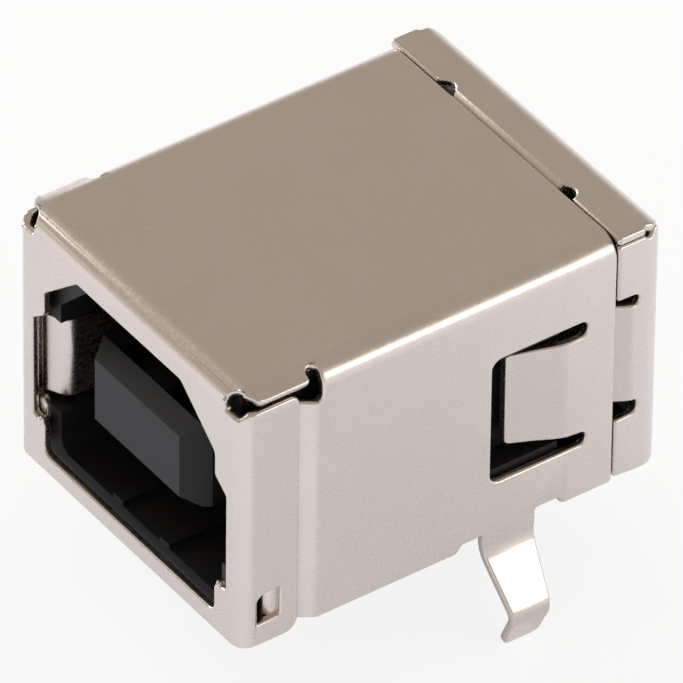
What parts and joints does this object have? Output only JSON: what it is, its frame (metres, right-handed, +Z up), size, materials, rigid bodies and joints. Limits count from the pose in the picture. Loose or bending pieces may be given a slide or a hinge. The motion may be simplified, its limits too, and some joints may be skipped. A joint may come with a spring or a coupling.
{
  "type": "usb type b receptacle",
  "caption": "Right-angle board-mount receptacle with a folded metal shell, chamfered square mouth, black insulator tongue, spring fingers, splayed shield legs and solder tails",
  "frame": {"origin": "On the board plane, at the middle of the line between the two shield legs, which is the reference point that board layouts give this socket", "axes": "+Z is up and away from the board. The plug goes in along +Y, so the mouth faces -Y. +X is to the right of someone who looks into the mouth"},
  "size_m": [0.0146, 0.0158, 0.0134],
  "materials": {
    "shell_plate": "satin nickel plate on folded sheet",
    "cover_plate": "satin nickel plate on folded sheet",
    "insulator": "black moulded plastic with a fine eggshell texture",
    "contact_metal": "gold plate on the touching length, bright plate on the tails"
  },
  "bodies": {
    "root": {"main_shell": "shell_plate", "rear_cover": "cover_plate", "housing": "insulator", "contact_vbus": "contact_metal", "contact_data_minus": "contact_metal", "contact_data_plus": "contact_metal", "contact_ground": "contact_metal"}
  },
  "joints": []
}
